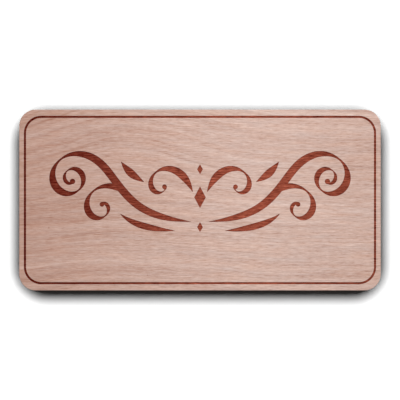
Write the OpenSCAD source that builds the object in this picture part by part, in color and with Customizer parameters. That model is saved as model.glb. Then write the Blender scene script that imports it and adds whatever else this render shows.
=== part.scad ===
// Wooden wall plaque: a plywood board with rounded corners, an engraved border line and a
// penned scroll ornament, hung by a sawtooth hanger and kept off the wall by four bumpers.
//
// Frame: +Z up, +X to the right of someone who faces the plaque, the face towards -Y.
// The wall is the plane y = 0. The origin is where the nail bears in the hanger's middle notch.

/* [Board] */
// Width of the board
board_w = 200; // [150:1:320]
// Height of the board
board_h = 100; // [80:1:200]
// Radius of the board's corners
corner_r = 9; // [2:0.5:15]
// Thickness of the front and back face veneers
face_t = 0.9; // [0.6:0.05:1.5]
// Thickness of each of the five inner plies
ply_t = 1.44; // [1:0.02:2.5]

/* [Engraving] */
// Depth of the engraving in the front veneer
engrave_d = 0.4; // [0.1:0.05:0.5]
// Width of the border line
line_w = 1.2; // [0.4:0.1:3]
// Distance of the border line's middle from the board's sides
line_inset_x = 3.2; // [2:0.1:12]
// Distance of the border line's middle from the board's top and bottom
line_inset_z = 4; // [2:0.1:12]
// Corner radius of the border line
line_r = 9; // [2:0.5:15]
// Clear space between the border line and the tips of the ornament
ornament_margin = 12.8; // [4:0.1:40]
// Height of the ornament's own centre above the board's centre
ornament_rise = 2; // [-8:0.5:8]
// Breadth of the pen's nib
nib_w = 4.4; // [2:0.1:6]
// Thickness of the pen's nib, which is the width of the thinnest lines
nib_t = 1; // [0.4:0.1:2]

/* [Hanger] */
// Length of the hanger strip
hanger_l = 45; // [40:1:80]
// Height of the hanger strip, teeth included
hanger_h = 9; // [7:0.5:15]
// Thickness of the hanger's steel
hanger_t = 0.8; // [0.5:0.1:1]
// Gap for the nail's head between the board and the hanger's raised middle
hanger_gap = 1.7; // [1:0.1:1.8]
// Length of each flat tab that a screw holds
tab_l = 8; // [6.5:0.5:9]
// Length of the slope between a tab and the raised middle
slope_l = 2.5; // [1.5:0.1:4]
// Distance from one tooth to the next
tooth_pitch = 3; // [2:0.25:5]
// Height of the teeth
tooth_h = 1.5; // [0.8:0.1:2.5]
// Distance of the middle notch below the board's top edge
hanger_drop = 18; // [14:1:60]

/* [Screws] */
// Diameter of the screw's thread
screw_d = 2.2; // [1.5:0.1:2.6]
// Length of the screw under its head
screw_l = 5.6; // [4:0.2:7]
// Diameter of the screw's head
head_d = 4.4; // [3.5:0.1:5.5]
// Height of the screw's head
head_h = 1.5; // [1:0.1:1.8]
// Distance between the threads
thread_pitch = 0.8; // [0.6:0.1:1.2]
// Space left round a screw in its hole
screw_clear = 0.05; // [0.02:0.01:0.2]

/* [Bumpers] */
// Diameter of a bumper at its foot
bumper_d = 10; // [6:0.5:14]
// Height of a bumper
bumper_h = 3.1; // [2.9:0.1:6]
// Distance of a bumper's centre from the board's edges
bumper_inset = 13; // [8:0.5:25]
// Thickness of the adhesive pad under a bumper
pad_t = 0.2; // [0.1:0.05:0.5]
// How far the pad's edge stays inside the bumper's
pad_setback = 0.4; // [0:0.1:1]

/* [Hidden] */
$fn = 64;

// How far a cutting shape runs past the face it cuts
past = 1;

// The board's back stands off the wall by a bumper and its pad
standoff = bumper_h + pad_t;
board_t = 2 * face_t + 5 * ply_t;
front_y = -standoff - board_t;
board_top = hanger_drop;
board_z = board_top - board_h / 2;

// Distance of a ply's back from the board's back, counted from 0 at the back veneer to 6
function ply_depth(i) = i == 0 ? 0 : face_t + (i - 1) * ply_t;

// Screws sit in the middle of the hanger's tabs
screw_x = hanger_l / 2 - tab_l / 2;
screw_z = hanger_h / 2 - tooth_h;
tip_l = screw_d * 0.9;
root_r = screw_d * 0.36;
hole_spare = 0.15;

// ---------------------------------------------------------------- flat shapes

// Rectangle with round corners, centred
module rounded_rect(w, h, r) {
    square([w, h - 2 * r], center = true);
    square([w - 2 * r, h], center = true);
    for (x = [-1, 1], z = [-1, 1])
        translate([x * (w / 2 - r), z * (h / 2 - r)]) circle(r = r);
}

// Stands a flat shape up in the X-Z plane and gives it a thickness towards the front
module upright(thickness, back_y) {
    translate([0, back_y, 0]) rotate([90, 0, 0]) linear_extrude(thickness) children();
}

// Turns a shape that is round about Z so that its axis points at the wall
module facing_wall(x, y, z) {
    translate([x, y, z]) rotate([-90, 0, 0]) children();
}

// Ring between two rounded rectangles: the engraved border line
module border_line() {
    w = board_w - 2 * line_inset_x;
    h = board_h - 2 * line_inset_z;
    difference() {
        rounded_rect(w + line_w, h + line_w, line_r + line_w / 2);
        rounded_rect(w - line_w, h - line_w, line_r - line_w / 2);
    }
}

// ---------------------------------------------------------------- pen strokes
// A stroke is the track of a broad nib. Its bend, in degrees turned per millimetre, changes
// evenly from one station to the next, so every curve is a smooth spiral.
// stroke = [start, heading, stations, lead_in, lead_out, end_width, drop_d]
//   stations  = [distance from the last station, bend there]
//   lead_in   = length over which the pen comes down, lead_out the same as it lifts
//   end_width = share of the full width that is left at the end
//   drop_d    = diameter of the round drop that ends the stroke, 0 for a pointed end

stem   = [[5, -14], 6, [[0, 0.2], [30, 1.7], [20, 0.2], [15, -2.6], [29, -5], [30, -8],
          [18, -14], [6, -22]], 22, 55, 0.4, 3];
branch = [[37, -0.5], 42, [[0, -1.4], [13, -3.6], [20, -6.4], [18, -12], [7, -22]],
          13, 36, 0.4, 2.6];
curl   = [[4, 2.5], 66, [[0, -0.6], [12, -3.8], [21, -8], [14, -18]], 12, 30, 0.4, 2.6];
leaf   = [[14, -19], 4, [[0, 0.3], [18, 1.1], [14, 2.6]], 16, 16, 0.05, 0];
sprig  = [[31, 8], 28, [[0, 1], [9, 2.2], [8, 1]], 9, 9, 0.05, 0];
strokes = [stem, branch, curl, leaf, sprig];

// Lozenges on the middle line: [height of its centre, width, height]
lozenges = [[-0.5, 6.4, 12], [15, 3.2, 5.6], [-17, 3.2, 5.6]];

// Reach of the ornament at its drawn size, from the middle line to its outer edge
drawn_reach = 84;
nib_angle = 140;
tip_width = 0.05;
step_turn = 7;
step_l = 1.6;

ornament_scale = (board_w / 2 - line_inset_x - ornament_margin) / drawn_reach;

function bearing(h, c0, c1, l, t) = h + c0 * t + (c1 - c0) * t * t / (2 * l);
function steps(c0, c1, l) = max(2, ceil(max((abs(c0) + abs(c1)) / 2 * l / step_turn, l / step_l)));

// Points of a stretch between two stations, each [x, z, heading, distance], after point p
function stretch(p, c0, c1, l) =
    let (n = steps(c0, c1, l), d = l / n)
    [for (i = 0, q = p; i <= n; i = i + 1,
          q = let (m = bearing(p[2], c0, c1, l, (i - 0.5) * d))
              [q[0] + d * cos(m), q[1] + d * sin(m), bearing(p[2], c0, c1, l, i * d), p[3] + i * d])
        if (i > 0) q];

function track(p, stations, k = 1) =
    k == len(stations) ? []
    : let (points = stretch(p, stations[k - 1][1], stations[k][1], stations[k][0]))
      concat(points, track(points[len(points) - 1], stations, k + 1));

function ease(t, full, low) = low + (1 - low) * sin(90 * min(1, t / full));

function pen_half_width(p, total, s) =
    norm([nib_w * sin(p[2] - nib_angle), nib_t * cos(p[2] - nib_angle)]) / 2
    * ease(p[3], s[3], tip_width) * ease(total - p[3], s[4], s[5]);

function beside(p, d) = [p[0] - d * sin(p[2]), p[1] + d * cos(p[2])];

module pen_stroke(s) {
    start = [s[0][0], s[0][1], s[1], 0];
    points = concat([start], track(start, s[2]));
    last = len(points) - 1;
    total = points[last][3];
    left = [for (p = points) beside(p, pen_half_width(p, total, s))];
    right = [for (i = [last:-1:0]) beside(points[i], -pen_half_width(points[i], total, s))];
    outline = [for (p = concat(left, right)) ornament_scale * p];
    polygon(outline);
    if (s[6] > 0)
        translate(ornament_scale * beside(points[last], -0.28 * s[6]))
            circle(d = ornament_scale * s[6]);
}

module lozenge(z, w, h) {
    polygon(ornament_scale * [[0, z + h / 2], [w / 2, z], [0, z - h / 2], [-w / 2, z]]);
}

module ornament() {
    for (s = strokes) {
        pen_stroke(s);
        mirror([1, 0]) pen_stroke(s);
    }
    for (l = lozenges) lozenge(l[0], l[1], l[2]);
}

// ---------------------------------------------------------------- board

// A ply, number i from the back, with the screws' pilot holes where they reach it
module ply(i, thickness) {
    difference() {
        translate([0, 0, board_z])
            upright(thickness, -standoff - ply_depth(i)) rounded_rect(board_w, board_h, corner_r);
        if (ply_depth(i) < screw_l - hanger_t + hole_spare) pilot_holes();
    }
}

module pilot_holes() {
    for (side = [-1, 1])
        facing_wall(side * screw_x, -standoff - (screw_l - hanger_t) - hole_spare, screw_z)
            cylinder(d = screw_d + 2 * screw_clear, h = screw_l - hanger_t + hole_spare + past);
}

module back_face_veneer() {
    color("#c9a890") ply(0, face_t);
}

module cross_ply_back() {
    color("#a07a5e") ply(1, ply_t);
}

module long_ply_back() {
    color("#c4a084") ply(2, ply_t);
}

module core_cross_ply() {
    color("#9a7458") ply(3, ply_t);
}

module long_ply_front() {
    color("#c4a084") ply(4, ply_t);
}

module cross_ply_front() {
    color("#a07a5e") ply(5, ply_t);
}

module front_face_veneer() {
    color("#cbaa9d") difference() {
        ply(6, face_t);
        translate([0, 0, board_z])
            upright(engrave_d + past, front_y + engrave_d) {
                border_line();
                translate([0, ornament_rise]) ornament();
            }
    }
}

// ---------------------------------------------------------------- hanging hardware

// Half of the strip's outline seen from above, from the middle to the end of a tab
slope_angle = atan(hanger_gap / slope_l);
bend_shift = hanger_t * tan(slope_angle / 2);
plateau = hanger_l / 2 - tab_l - slope_l - bend_shift;
inner_edge = [[plateau, hanger_gap], [plateau + slope_l, 0], [hanger_l / 2, 0]];
outer_edge = [[hanger_l / 2, hanger_t], [plateau + slope_l + bend_shift, hanger_t],
              [plateau + bend_shift, hanger_gap + hanger_t]];
tab_corner_r = 2;
tooth_flat = 0.4;

function flipped(points) = [for (i = [len(points) - 1:-1:0]) [-points[i][0], points[i][1]]];

module strip_profile() {
    half = concat(inner_edge, outer_edge);
    polygon(concat(half, flipped(half)));
}

// Notches along the lower edge of the raised middle, as many as fit, one of them in the middle
module notches() {
    side_count = floor((plateau - tooth_flat) / tooth_pitch - 0.5);
    half_w = (tooth_pitch - tooth_flat) / 2;
    for (i = [-side_count:side_count])
        translate([i * tooth_pitch, 0])
            polygon([[0, 0], [half_w, -tooth_h], [half_w, -tooth_h - past],
                     [-half_w, -tooth_h - past], [-half_w, -tooth_h]]);
}

module sawtooth_hanger() {
    color("#b9a878") difference() {
        intersection() {
            translate([0, -standoff, -tooth_h]) linear_extrude(hanger_h) strip_profile();
            translate([0, 0, screw_z])
                upright(2 * standoff, standoff) rounded_rect(hanger_l, hanger_h, tab_corner_r);
        }
        upright(2 * standoff, standoff) notches();
        for (side = [-1, 1])
            facing_wall(side * screw_x, -standoff - past, screw_z)
                cylinder(d = screw_d + 2 * screw_clear, h = hanger_t + 2 * past);
    }
}

// Pan head from its rim to its crown, an arc over a straight skirt
skirt = head_h * 0.45;
dome = head_h - skirt;
dome_r = (head_d * head_d / 4 + dome * dome) / (2 * dome);
function dome_point(a) = [dome_r * sin(a), head_h - dome_r + dome_r * cos(a)];
dome_angle = asin(head_d / 2 / dome_r);
dome_steps = 8;

// Threaded shank below the head, from the point upwards
thread_count = floor((screw_l - tip_l - hanger_t) / thread_pitch);
thread_points = [for (i = [0:thread_count - 1], j = [0, 1])
    [j == 0 ? root_r : screw_d / 2, -screw_l + tip_l + (i + j / 2) * thread_pitch]];

module hanger_screw(side) {
    slot_w = head_d * 0.16;
    slot_l = head_d * 0.56;
    slot_d = head_h * 0.55;
    color("#c8c9c6") facing_wall(side * screw_x, -standoff + hanger_t, screw_z)
        difference() {
            rotate_extrude() polygon(concat(
                [[0, -screw_l]], thread_points,
                [[root_r, -screw_l + tip_l + thread_count * thread_pitch],
                 [screw_d / 2, -hanger_t], [screw_d / 2, 0], [head_d / 2, 0]],
                [for (i = [dome_steps:-1:1]) dome_point(dome_angle * i / dome_steps)],
                [[0, head_h]]));
            for (turn = [45, 135])
                rotate(turn) translate([-slot_l / 2, -slot_w / 2, head_h - slot_d])
                    cube([slot_l, slot_w, slot_d + past]);
        }
}

// Bumper: sides drawn in towards the wall, round edge, flat top that touches the wall
bumper_draft = 0.5;
bumper_round = 0.7;
round_steps = 6;
bumper_top_r = bumper_d / 2 - bumper_draft;

module bumper(side, level) {
    color("#3a3a3c") facing_wall(bumper_x(side), -bumper_h, bumper_z(level))
        rotate_extrude() polygon(concat(
            [[0, 0], [bumper_d / 2, 0]],
            [for (i = [0:round_steps])
                [bumper_top_r - bumper_round + bumper_round * cos(90 * i / round_steps),
                 bumper_h - bumper_round + bumper_round * sin(90 * i / round_steps)]],
            [[0, bumper_h]]));
}

module pad(side, level) {
    color("#e8e4d8") facing_wall(bumper_x(side), -standoff, bumper_z(level))
        cylinder(r = bumper_d / 2 - pad_setback, h = pad_t);
}

function bumper_x(side) = side * (board_w / 2 - bumper_inset);
function bumper_z(level) = board_z + level * (board_h / 2 - bumper_inset);

back_face_veneer();
cross_ply_back();
long_ply_back();
core_cross_ply();
long_ply_front();
cross_ply_front();
front_face_veneer();
sawtooth_hanger();
hanger_screw(-1);  // hanger_screw_left
hanger_screw(1);  // hanger_screw_right
bumper(-1, 1);  // bumper_top_left
bumper(1, 1);  // bumper_top_right
bumper(-1, -1);  // bumper_bottom_left
bumper(1, -1);  // bumper_bottom_right
pad(-1, 1);  // pad_top_left
pad(1, 1);  // pad_top_right
pad(-1, -1);  // pad_bottom_left
pad(1, -1);  // pad_bottom_right
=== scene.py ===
"""Looks of the wooden wall plaque: wood, scorched engraving, ply edges, hanger, screws and bumpers."""
import math

import bmesh
import bpy
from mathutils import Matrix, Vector


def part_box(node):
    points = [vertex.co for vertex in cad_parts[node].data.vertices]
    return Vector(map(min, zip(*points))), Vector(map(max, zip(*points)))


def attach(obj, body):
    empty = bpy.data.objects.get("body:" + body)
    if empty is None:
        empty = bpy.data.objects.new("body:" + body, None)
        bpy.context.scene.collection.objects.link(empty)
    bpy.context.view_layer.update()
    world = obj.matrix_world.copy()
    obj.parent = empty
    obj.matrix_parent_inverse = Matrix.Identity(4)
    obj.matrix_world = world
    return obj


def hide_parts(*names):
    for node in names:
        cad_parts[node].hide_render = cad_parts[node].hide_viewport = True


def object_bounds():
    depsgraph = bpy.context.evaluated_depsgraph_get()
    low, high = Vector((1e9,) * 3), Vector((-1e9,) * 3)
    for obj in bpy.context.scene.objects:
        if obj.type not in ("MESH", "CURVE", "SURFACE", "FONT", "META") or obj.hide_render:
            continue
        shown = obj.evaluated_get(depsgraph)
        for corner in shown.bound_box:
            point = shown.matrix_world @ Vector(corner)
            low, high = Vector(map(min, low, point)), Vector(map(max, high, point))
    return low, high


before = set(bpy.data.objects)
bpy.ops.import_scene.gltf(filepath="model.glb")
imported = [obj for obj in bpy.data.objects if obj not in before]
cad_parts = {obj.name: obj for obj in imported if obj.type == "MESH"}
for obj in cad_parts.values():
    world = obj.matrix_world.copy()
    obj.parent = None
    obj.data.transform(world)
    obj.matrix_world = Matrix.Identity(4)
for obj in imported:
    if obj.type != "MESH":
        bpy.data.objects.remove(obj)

cad_low, cad_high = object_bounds()
MM = 0.001

# ------------------------------------------------------------------ places, from the frame
FRONT = "front_face_veneer"
board_low, board_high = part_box(FRONT)
BOARD_W = board_high.x - board_low.x
BOARD_H = board_high.z - board_low.z
FACE_Y = board_low.y
CENTRE = Vector((0.0, FACE_Y, (board_low.z + board_high.z) / 2))
CORNER_R = 9 * MM
LONG_PLIES = ["long_ply_front", "long_ply_back"]
CROSS_PLIES = ["cross_ply_front", "core_cross_ply", "cross_ply_back"]
CORNERS = ["top_left", "top_right", "bottom_left", "bottom_right"]


# ------------------------------------------------------------------ mesh work
# Points closer than WELD are one point, and a point this NEAR to a surface counts as on it.
WELD = 1e-6
NEAR = 0.02 * MM
# Faces that meet at less than FLAT are merged, and an edge over SHARP is rounded.
FLAT = math.radians(0.3)
SHARP = math.radians(40)


def inset(point):
    """How far inside the board's outline a point is, in metres."""
    x = max(abs(point.x) - (BOARD_W / 2 - CORNER_R), 0.0)
    z = max(abs(point.z - CENTRE.z) - (BOARD_H / 2 - CORNER_R), 0.0)
    return CORNER_R - math.hypot(x, z) if x > 0 or z > 0 else CORNER_R


def middle(edge):
    """The point halfway along an edge."""
    return (edge.verts[0].co + edge.verts[1].co) / 2


def eased(node, width, segments=2, pick=None):
    """A copy of a CAD node with its sharp edges rounded off, which stands for the node."""
    bm = bmesh.new()
    bm.from_mesh(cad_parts[node].data)
    bmesh.ops.remove_doubles(bm, verts=bm.verts, dist=WELD)
    bmesh.ops.dissolve_limit(bm, angle_limit=FLAT, verts=bm.verts, edges=bm.edges)
    edges = [
        e for e in bm.edges
        if e.is_manifold and e.calc_face_angle() > SHARP and (pick is None or pick(e))
    ]
    bmesh.ops.bevel(bm, geom=edges, offset=width, segments=segments, profile=0.5, affect="EDGES")
    for face in bm.faces:
        face.smooth = True
    mesh = bpy.data.meshes.new(node + "_mesh")
    bm.to_mesh(mesh)
    bm.free()
    mesh.set_sharp_from_angle(angle=SHARP)
    piece = bpy.data.objects.new(node + "_piece", mesh)
    bpy.context.scene.collection.objects.link(piece)
    normals = piece.modifiers.new("weighted_normals", "WEIGHTED_NORMAL")
    normals.keep_sharp = True
    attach(piece, "root")
    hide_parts(node)
    return piece


# ------------------------------------------------------------------ material graphs
class Graph:
    """Short calls that make and wire the nodes of one material."""

    def __init__(self, name):
        self.material = bpy.data.materials.new(name)
        self.material.use_nodes = True
        self.tree = self.material.node_tree
        self.shader = self.tree.nodes["Principled BSDF"]

    def put(self, value, socket):
        if isinstance(value, bpy.types.NodeSocket):
            self.tree.links.new(value, socket)
        else:
            socket.default_value = value

    def node(self, kind, *inputs, **settings):
        made = self.tree.nodes.new(kind)
        for key, value in settings.items():
            setattr(made, key, value)
        for value, socket in zip(inputs, made.inputs):
            if value is not None:
                self.put(value, socket)
        return made

    def math(self, operation, *values):
        return self.node("ShaderNodeMath", *values, operation=operation).outputs[0]

    def add(self, a, b):
        return self.math("ADD", a, b)

    def times(self, a, b):
        return self.math("MULTIPLY", a, b)

    def minus(self, a, b):
        return self.math("SUBTRACT", a, b)

    def vector(self, x, y, z):
        return self.node("ShaderNodeCombineXYZ", x, y, z).outputs[0]

    def place(self):
        """X, Y and Z in millimetres: X and Z from the board's centre, Y back from its face."""
        here = self.node("ShaderNodeTexCoord").outputs["Object"]
        moved = self.node("ShaderNodeVectorMath", here, tuple(CENTRE), operation="SUBTRACT")
        large = self.node("ShaderNodeVectorMath", moved.outputs[0], operation="SCALE")
        large.inputs["Scale"].default_value = 1 / MM
        return self.node("ShaderNodeSeparateXYZ", large.outputs[0]).outputs

    def noise(self, vector, detail=2.0, roughness=0.5):
        made = self.node("ShaderNodeTexNoise")
        self.put(vector, made.inputs["Vector"])
        made.inputs["Scale"].default_value = 1.0
        made.inputs["Detail"].default_value = detail
        made.inputs["Roughness"].default_value = roughness
        return made.outputs[0]

    def between(self, value, low, high, to_low=0.0, to_high=1.0):
        """Value moved smoothly from low..high to to_low..to_high, and held there outside."""
        made = self.node("ShaderNodeMapRange", interpolation_type="SMOOTHSTEP")
        for socket, number in zip(made.inputs, (value, low, high, to_low, to_high)):
            self.put(number, socket)
        return made.outputs[0]

    def mix(self, amount, a, b):
        made = self.node("ShaderNodeMix", data_type="RGBA", clamp_factor=False)
        self.put(amount, made.inputs[0])
        self.put(a, made.inputs[6])
        self.put(b, made.inputs[7])
        return made.outputs[2]

    def shade(self, colour, tone):
        made = self.node("ShaderNodeVectorMath", operation="SCALE")
        self.put(colour, made.inputs[0])
        self.put(tone, made.inputs["Scale"])
        return made.outputs[0]

    def bump(self, height, depth):
        made = self.node("ShaderNodeBump")
        made.inputs["Strength"].default_value = 1.0
        made.inputs["Distance"].default_value = depth
        self.put(height, made.inputs["Height"])
        self.put(made.outputs[0], self.shader.inputs["Normal"])

    def finish(self, colour, roughness, specular=0.5, metallic=0.0):
        self.put(colour, self.shader.inputs["Base Color"])
        self.put(roughness, self.shader.inputs["Roughness"])
        self.shader.inputs["Specular IOR Level"].default_value = specular
        self.shader.inputs["Metallic"].default_value = metallic
        return self.material


# ------------------------------------------------------------------ wood grain, in millimetres
# The growth figure's arch: where its crown is, how wide it is, and its lift low and high on the board.
ARCH_X = -42.0
ARCH_WIDTH = 55.0
ARCH_LIFT = (7.0, 20.0)
ARCH_Z = (-10.0, 42.0)
# Slow wandering of the figure: length, width and height of the waves.
SWELL = (55.0, 20.0, 5.0)
RIPPLE = (14.0, 6.0, 1.0)
# The share of the arch and of the wandering that the fibres follow, which run straighter.
FIBRE_ARCH = 0.08
FIBRE_WANDER = 0.2
# Changes across the board, each from one X to another and from one value to another: how pale the
# wood grows to the right and how much it loses again, which is partly the wood's own tone and partly
# painted shade at the left and painted light right of the middle; how much the burn loses; and how
# much of their height the fibres have.
PALE_AND_LIGHT_RISE = (-125.0, 45.0, 0.22, 0.77)
PALE_AND_LIGHT_FALL = (30.0, 110.0, 0.0, 0.16)
BURN_FALL = (0.0, 60.0, 0.0, 0.07)
FIBRE_RISE = (-110.0, 20.0, 0.62, 1.0)
# Streaks of the face veneer: length, width, and how strongly they show.
RING_STREAKS = ((220.0, 6.0, 0.54), (170.0, 2.8, 0.48), (60.0, 1.4, 0.18))
FIBRE_STREAKS = ((60.0, 0.8, 0.28), (15.0, 0.45, 1.04), (4.5, 0.38, 1.45))
# Pores: length and width, the noise levels at which they open and are full, and how dark they are.
PORES = ((3.5, 0.45, 0.58, 0.72, 0.20), (2.2, 0.16, 0.60, 0.68, 0.30))
# Late wood: length and width of its lines and of the patches in which they show, and how dark.
LATE_LINE = (230.0, 4.0)
LATE_PATCH = (90.0, 7.0)
LATE_DARK = 0.19
# Patches that are a little redder or browner: length and width along the rings and the fibres.
PINK_RINGS = (40.0, 5.0)
PINK_FIBRES = (12.0, 1.5)
# Distance between the lines that the engraving laser leaves.
RASTER_STEP = 0.3
# Pin knots: X and Z from the board's centre, radius, and how dark they are.
FACE_KNOTS = ((56.4, 19.3, 0.8, 0.65), (-29.0, -41.6, 0.5, 0.35), (-83.6, -15.3, 0.6, 0.35))
BACK_KNOTS = ((31.0, -14.0, 1.5, 0.60), (-58.0, 12.0, 1.0, 0.50), (66.0, 31.0, 0.7, 0.40))


def streak(g, along, across, length, width, seed, detail=2.0):
    """Noise drawn out along the grain: lines of about this length and width, in millimetres."""
    place = g.vector(g.times(along, 1 / length), g.times(across, 1 / width), seed)
    return g.noise(place, detail)


def wave(g, x, z, length, width, height, seed):
    """A slow rise and fall about zero, as high as given."""
    return g.times(g.minus(streak(g, x, z, length, width, seed, 1.0), 0.5), height)


def figure(g, x, z, seed):
    """Heights of the growth figure and of the fibres at a point: the figure arches at the left."""
    side = g.times(g.minus(x, ARCH_X), 1 / ARCH_WIDTH)
    arch = g.math("EXPONENT", g.times(g.times(side, side), -1.0))
    lift = g.times(arch, g.between(z, *ARCH_Z, *ARCH_LIFT))
    wander = g.add(wave(g, x, z, *SWELL, seed), wave(g, x, z, *RIPPLE, seed + 0.5))
    rings = g.minus(g.minus(z, lift), wander)
    fibres = g.minus(g.minus(z, g.times(lift, FIBRE_ARCH)), g.times(wander, FIBRE_WANDER))
    return rings, fibres


def late_wood(g, x, rings, seed):
    """Thin dark lines that follow the growth figure and fade in and out along it."""
    layer = streak(g, x, rings, *LATE_LINE, seed, 0.0)
    line = g.between(g.math("ABSOLUTE", g.minus(layer, 0.5)), 0.0, 0.05, 1.0, 0.0)
    return g.times(line, g.between(streak(g, x, rings, *LATE_PATCH, seed + 1.0, 1.0), 0.36, 0.60))


def paleness_and_painted_light(g, x):
    """Paleness apart from the grain: dark at the left, palest right of the middle. Part is the veneer's own
    tone, part is painted shade at the left and painted light right of the middle.
    """
    return g.minus(g.between(x, *PALE_AND_LIGHT_RISE), g.between(x, *PALE_AND_LIGHT_FALL))


def fibre_height(g, x, fibres, seed):
    """Height of the fibres and pores, about zero. They show less at the left of the board."""
    height = 0.0
    for number, (length, width, strength) in enumerate(FIBRE_STREAKS):
        layer = streak(g, x, fibres, length, width, seed + number + 5.0)
        height = g.add(g.times(g.minus(layer, 0.5), strength), height)
    for number, (length, width, opens, full, strength) in enumerate(PORES):
        layer = streak(g, x, fibres, length, width, seed + number + 11.0, 1.0)
        height = g.minus(height, g.times(g.between(layer, opens, full), strength))
    return g.times(height, g.between(x, *FIBRE_RISE))


def face_wood(g, seed, knots):
    """Paleness, fibre height and pinkness of a veneer grained across the board.

    What is added to the seed gives each layer of noise a place of its own, so that none repeats.
    """
    x, _, z = g.place()
    rings, fibres = figure(g, x, z, seed)
    # The broad paleness carries painted shade at the left and painted light right of the middle.
    pale = g.minus(paleness_and_painted_light(g, x), g.times(late_wood(g, x, rings, seed + 20.0), LATE_DARK))
    for number, (length, width, strength) in enumerate(RING_STREAKS):
        layer = streak(g, x, rings, length, width, seed + number, 1.0)
        pale = g.add(g.times(g.minus(layer, 0.5), strength), pale)
    height = fibre_height(g, x, fibres, seed)
    for knot_x, knot_z, radius, strength in knots:
        across = g.add(g.math("POWER", g.minus(x, knot_x), 2.0), g.math("POWER", g.minus(z, knot_z), 2.0))
        height = g.minus(height, g.between(across, 0.0, radius * radius, strength, 0.0))
    pink_rings = streak(g, x, rings, *PINK_RINGS, seed + 13.0)
    pink_fibres = streak(g, x, fibres, *PINK_FIBRES, seed + 14.0)
    pink = g.minus(g.add(pink_rings, pink_fibres), 1.0)
    return g.add(pale, height), height, pink


def face_material(name, seed, knots):
    """Pinkish wood, mixed from dark to pale, that is a little redder or browner from place to place."""
    g = Graph(name)
    dark_wood = (0.415, 0.228, 0.170, 1.0)
    pale_wood = (0.706, 0.516, 0.445, 1.0)
    pale, height, pink = face_wood(g, seed, knots)
    # The mix paints that shade at the left and that light right of the middle into the wood's colour.
    colour = g.mix(pale, dark_wood, pale_wood)
    tint = g.vector(g.add(g.times(pink, -0.12), 1.0), 1.0, g.add(g.times(pink, 0.10), 1.0))
    colour = g.node("ShaderNodeVectorMath", colour, tint, operation="MULTIPLY").outputs[0]
    g.bump(height, 0.04 * MM)
    return g.finish(colour, g.between(height, -0.5, 0.5, 0.72, 0.58), 0.2)


def scorch_material():
    """Floor and walls of the engraving: the same fibres, burnt red-brown and darkest at the left, which is
    partly painted shade.
    """
    g = Graph("scorched_engraving")
    deep_burn = (0.074, 0.0010, 0.0, 1.0)
    light_burn = (0.483, 0.124, 0.072, 1.0)
    x, _, z = g.place()
    _, fibres = figure(g, x, z, 0.0)
    height = fibre_height(g, x, fibres, 0.0)
    raster = g.math("SINE", g.times(z, 2 * math.pi / RASTER_STEP))
    # The burn's mean takes the face's painted shade at the left and painted light right of the middle.
    mean = g.minus(paleness_and_painted_light(g, x), g.between(x, *BURN_FALL))
    lightness = g.add(g.add(g.times(height, 1.05), mean), g.times(raster, 0.03))
    lightness = g.math("POWER", g.math("MAXIMUM", lightness, 0.0), 1.55)
    colour = g.mix(lightness, deep_burn, light_burn)
    g.bump(g.add(height, g.times(raster, 0.3)), 0.04 * MM)
    return g.finish(colour, 0.85, 0.02)


# Wood of the inner plies, where the edge shows the fibres' sides and where it shows their ends.
PLY_SIDE = (0.60, 0.385, 0.265, 1.0)
PLY_END = (0.40, 0.220, 0.135, 1.0)


def ply_material(name, along, low_y, high_y, seed):
    """Edge of an inner ply: streaks where the grain runs along it, speckle where it ends."""
    g = Graph(name)
    x, y, z = g.place()
    run, rise = {"X": (x, z), "Z": (z, x)}[along]
    fibre = g.noise(g.vector(g.times(run, 1 / 12.0), g.times(rise, 1 / 0.4), g.times(y, 1 / 0.28)), 3.0, 0.6)
    vessels = g.noise(g.vector(g.times(run, 1 / 9.0), g.times(rise, 1 / 0.22), g.times(y, 1 / 0.22)), 1.0)
    broad = streak(g, run, rise, 40.0, 6.0, seed)
    normal = g.node("ShaderNodeNewGeometry").outputs["Normal"]
    facing = g.node("ShaderNodeSeparateXYZ", normal).outputs["XYZ".index(along)]
    end_grain = g.times(facing, facing)
    from_glue = g.math("MINIMUM", g.minus(y, low_y), g.minus(high_y, y))
    glue = g.between(from_glue, 0.02, 0.13, 0.5, 1.0)
    holes = g.times(g.between(vessels, 0.60, 0.72), -0.30)
    tone = g.add(g.times(g.minus(fibre, 0.5), 1.1), g.add(g.times(g.minus(broad, 0.5), 0.5), 1.0))
    colour = g.shade(g.mix(end_grain, PLY_SIDE, PLY_END), g.times(g.add(tone, holes), glue))
    g.bump(g.add(fibre, holes), 0.06 * MM)
    return g.finish(colour, 0.75, 0.2)


def spots(g, size, detail, roughness=0.5):
    """Noise of this size in millimetres, the same in every direction."""
    x, y, z = g.place()
    place = g.vector(g.times(x, 1 / size), g.times(y, 1 / size), g.times(z, 1 / size))
    return g.noise(place, detail, roughness)


def steel_material(name, colour, seed):
    """Plated steel: fine rolling lines along X, faintly cloudy plating and a few scratches."""
    g = Graph(name)
    x, _, z = g.place()
    lines = streak(g, x, z, 14.0, 0.25, seed)
    cloud = spots(g, 4.0, 2.0)
    across = g.minus(z, g.times(x, 0.6))
    scratch = g.between(streak(g, g.add(x, z), across, 6.0, 0.15, seed + 3.0), 0.70, 0.76)
    tone = g.add(g.times(g.minus(cloud, 0.5), 0.20), g.add(g.times(g.minus(lines, 0.5), 0.30), 1.0))
    g.bump(g.add(lines, g.times(scratch, 0.4)), 0.004 * MM)
    rough = g.add(g.between(cloud, 0.3, 0.7, 0.30, 0.35), g.times(scratch, 0.08))
    return g.finish(g.shade(colour, tone), rough, 0.5, 1.0)


def rubber_material():
    """Dark moulded rubber with a fine matt skin and a little dust."""
    g = Graph("bumper_rubber")
    clean = (0.017, 0.017, 0.018, 1.0)
    dusty = (0.034, 0.033, 0.032, 1.0)
    skin = spots(g, 0.25, 4.0, 0.6)
    dust = g.between(spots(g, 2.0, 4.0), 0.48, 0.72)
    colour = g.mix(dust, clean, dusty)
    g.bump(skin, 0.03 * MM)
    return g.finish(g.shade(colour, g.add(skin, 0.5)), g.between(skin, 0.3, 0.7, 0.5, 0.68), 0.4)


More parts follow.
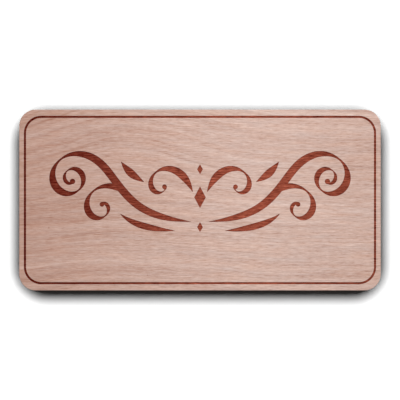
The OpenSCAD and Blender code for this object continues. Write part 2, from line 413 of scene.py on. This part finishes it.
def adhesive_material():
    """Cloudy acrylic film under a bumper."""
    g = Graph("adhesive_film")
    yellowed = (0.62, 0.58, 0.48, 1.0)
    fresh = (0.78, 0.76, 0.68, 1.0)
    x, _, z = g.place()
    cloud = g.noise(g.vector(g.times(x, 0.8), 0.0, g.times(z, 0.8)), 4.0)
    colour = g.mix(cloud, yellowed, fresh)
    g.bump(cloud, 0.02 * MM)
    return g.finish(colour, g.between(cloud, 0.3, 0.7, 0.3, 0.5), 0.5)


# ------------------------------------------------------------------ pieces
EDGE_ROUND = 0.35 * MM
GLUE_GROOVE = 0.05 * MM
# No cut is deeper than this, and none comes nearer to the outline.
CUT_DEPTH = 0.6 * MM
CUT_INSET = 1.5 * MM


def on_outline(edge):
    return inset(middle(edge)) < NEAR


def dress(piece, slot, *materials):
    """Give a piece its materials. Its slot is not used."""
    piece.data.materials.clear()
    for material in materials:
        piece.data.materials.append(material)


def on_rim(y):
    """A test for the outline's edges that lie at this depth: the rim of the face or of the back."""
    return lambda edge: on_outline(edge) and abs(middle(edge).y - y) < NEAR / 2


def front_piece():
    """The engraved veneer: an eased front edge, and scorched floors and walls in the cuts."""
    piece = eased(FRONT, EDGE_ROUND, 4, on_rim(FACE_Y))
    dress(piece, "front_veneer", face_material("face_veneer", 0.0, FACE_KNOTS), scorch_material())
    for face in piece.data.polygons:
        depth = face.center.y - FACE_Y
        if NEAR < depth < CUT_DEPTH and inset(face.center) > CUT_INSET:
            face.material_index = 1


def back_piece():
    node = "back_face_veneer"
    piece = eased(node, EDGE_ROUND, 4, on_rim(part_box(node)[1].y))
    dress(piece, "back_veneer", face_material("back_veneer", 40.0, BACK_KNOTS))


def ply_piece(node, along, slot, number):
    """An inner ply, its grain along X or Z and its outline grooved at the glue lines."""
    low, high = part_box(node)
    seed = 10.0 * number
    material = ply_material(node + "_wood", along, (low.y - FACE_Y) / MM, (high.y - FACE_Y) / MM, seed)
    dress(eased(node, GLUE_GROOVE, 1, on_outline), slot, material)


def hardware():
    dress(eased("sawtooth_hanger", 0.12 * MM), "hanger_steel",
          steel_material("hanger_plating", (0.74, 0.565, 0.29), 3.0))
    zinc = steel_material("screw_zinc", (0.60, 0.61, 0.62), 8.0)
    for side in ("left", "right"):
        dress(eased("hanger_screw_" + side, 0.06 * MM), "screw_steel", zinc)
    rubber = rubber_material()
    film = adhesive_material()
    for corner in CORNERS:
        dress(eased("bumper_" + corner, 0.08 * MM), "bumper_rubber", rubber)
        dress(eased("pad_" + corner, 0.03 * MM), "adhesive", film)


# ------------------------------------------------------------------ stage, lights and camera
LENS = 100.0
SENSOR = 36.0
VIEW_W = 1.106 * BOARD_W
CAMERA_GAP = VIEW_W * LENS / SENSOR
STAGE_REACH = 4.0
FLOOR_Z = CENTRE.z - 0.33
WALL_Y = cad_high.y + 0.2 * MM
SQUARE = [(-1, -1), (1, -1), (1, 1), (-1, 1)]
WHITE = (1.0, 1.0, 1.0, 1.0)
FLOOR_SHADE = 0.75
SKY = 0.62
# The wall's paint is dark and its own sun is strong, so that the other lights don't reach its shadow.
WALL_SHADE = 0.03
WALL_SUN = 107.0
# Soft lights on the plaque: shift from its centre and size in metres, and power in watts.
SOFT_LIGHTS = {
    "key": ((0.0, -0.5, 0.25), 0.3, 1.35),
    "overhead": ((0.0, 0.0, 1.1), 1.4, 6.0),
    "back_fill": ((-0.25, 0.55, 0.35), 0.4, 2.0),
}

# The board's shadow on the wall: how far it reaches past the board, its corner radius, and half
# the width over which its edge fades. A flag, which is a card far in front, throws it.
SHADOW_SIDE = 5.0 * MM
SHADOW_TOP = 1.3 * MM
SHADOW_BOTTOM = 6.8 * MM
SHADOW_R = 19 * MM
SHADOW_FADE = 4.3 * MM
FLAG_GAP = 2.0
FLAG_SHADE = 0.02
CORNER_STEPS = 12


def stage_sheet(name, corners, material):
    """One flat face through these corners, as part of the stage."""
    mesh = bpy.data.meshes.new(name)
    mesh.from_pydata(corners, [], [range(len(corners))])
    sheet = bpy.data.objects.new(name, mesh)
    bpy.context.scene.collection.objects.link(sheet)
    mesh.materials.append(material)
    return sheet


def paint(name, shade):
    """A matt grey."""
    g = Graph(name)
    g.finish((shade, shade, shade, 1.0), 0.9, 0.1)
    return g


def one_sided_paint(name, shade):
    """Paint on the front of a sheet only: its back is clear, so that the plaque's back can be seen."""
    g = paint(name, shade)
    clear = g.node("ShaderNodeBsdfTransparent").outputs[0]
    back = g.node("ShaderNodeNewGeometry").outputs["Backfacing"]
    sides = g.node("ShaderNodeMixShader", back, g.shader.outputs[0], clear)
    g.put(sides.outputs[0], g.tree.nodes["Material Output"].inputs["Surface"])
    return g


def hide_from(sheet, *rays):
    """Keep a sheet of the stage out of what these kinds of ray see."""
    for ray in rays:
        setattr(sheet, "visible_" + ray, False)


def wall():
    """The wall that the plaque hangs on. It takes light and shadow, and gives and blocks none."""
    reach = STAGE_REACH
    corners = [(x * reach, WALL_Y, z * reach) for x, z in SQUARE]
    made = stage_sheet("backdrop", corners, one_sided_paint("backdrop_paint", WALL_SHADE).material)
    hide_from(made, "diffuse", "glossy", "transmission", "shadow")
    return made


def shadow_flag():
    """A card with round corners, seen by no camera, that keeps the wall's sun off it."""
    half_w = BOARD_W / 2 + SHADOW_SIDE - SHADOW_R
    top = board_high.z + SHADOW_TOP - SHADOW_R
    bottom = board_low.z - SHADOW_BOTTOM + SHADOW_R
    points = []
    for quarter, (x, z) in enumerate([(half_w, top), (-half_w, top), (-half_w, bottom), (half_w, bottom)]):
        for step in range(CORNER_STEPS + 1):
            turn = math.radians(90) * (quarter + step / CORNER_STEPS)
            points.append((x + SHADOW_R * math.cos(turn), WALL_Y - FLAG_GAP, z + SHADOW_R * math.sin(turn)))
    flag = stage_sheet("shadow_flag", points, paint("flag_black", FLAG_SHADE).material)
    hide_from(flag, "camera", "diffuse", "glossy", "transmission")


def wall_sun(lit_wall):
    """Even light that falls straight on the wall and on nothing else."""
    data = bpy.data.lights.new("wall_sun", "SUN")
    data.energy = WALL_SUN
    data.angle = 2 * math.atan(SHADOW_FADE / FLAG_GAP)
    lamp = bpy.data.objects.new("wall_sun", data)
    lamp.location = CENTRE - Vector((0.0, FLAG_GAP, 0.0))
    lamp.rotation_euler = (math.radians(90), 0.0, 0.0)
    bpy.context.scene.collection.objects.link(lamp)
    lit = bpy.data.collections.new("lit_by_wall_sun")
    lit.objects.link(lit_wall)
    lamp.light_linking.receiver_collection = lit


def area_light(name, shift, size, power):
    """A square soft light at this shift from the board's centre, turned towards it."""
    data = bpy.data.lights.new(name, "AREA")
    data.size = size
    data.energy = power
    lamp = bpy.data.objects.new(name, data)
    lamp.location = CENTRE + Vector(shift)
    lamp.rotation_mode = "QUATERNION"
    lamp.rotation_quaternion = (-Vector(shift)).to_track_quat("-Z", "Y")
    lamp.visible_camera = False
    bpy.context.scene.collection.objects.link(lamp)


def sky():
    """An even white world."""
    world = bpy.data.worlds.new("studio")
    bpy.context.scene.world = world
    world.use_nodes = True
    background = world.node_tree.nodes["Background"]
    background.inputs["Color"].default_value = WHITE
    background.inputs["Strength"].default_value = SKY


def stage():
    reach = STAGE_REACH
    corners = [(x * reach, y * reach, FLOOR_Z) for x, y in SQUARE]
    stage_sheet("floor", corners, paint("floor_paint", FLOOR_SHADE).material)
    sky()
    for name, (shift, size, power) in SOFT_LIGHTS.items():
        area_light(name, shift, size, power)
    shadow_flag()
    wall_sun(wall())


def camera():
    """A long lens straight in front of the face, as far back as shows VIEW_W across."""
    data = bpy.data.cameras.new("camera")
    data.lens = LENS
    data.sensor_width = SENSOR
    cam = bpy.data.objects.new("camera", data)
    cam.location = CENTRE - Vector((0.0, CAMERA_GAP, 0.0))
    cam.rotation_euler = (math.radians(90), 0.0, 0.0)
    bpy.context.scene.collection.objects.link(cam)
    bpy.context.scene.camera = cam


camera()
stage()
front_piece()
back_piece()
for number, node in enumerate(LONG_PLIES):
    ply_piece(node, "X", "long_ply", number)
for number, node in enumerate(CROSS_PLIES):
    ply_piece(node, "Z", "cross_ply", number + len(LONG_PLIES))
hardware()
bpy.context.scene.view_settings.view_transform = "Standard"
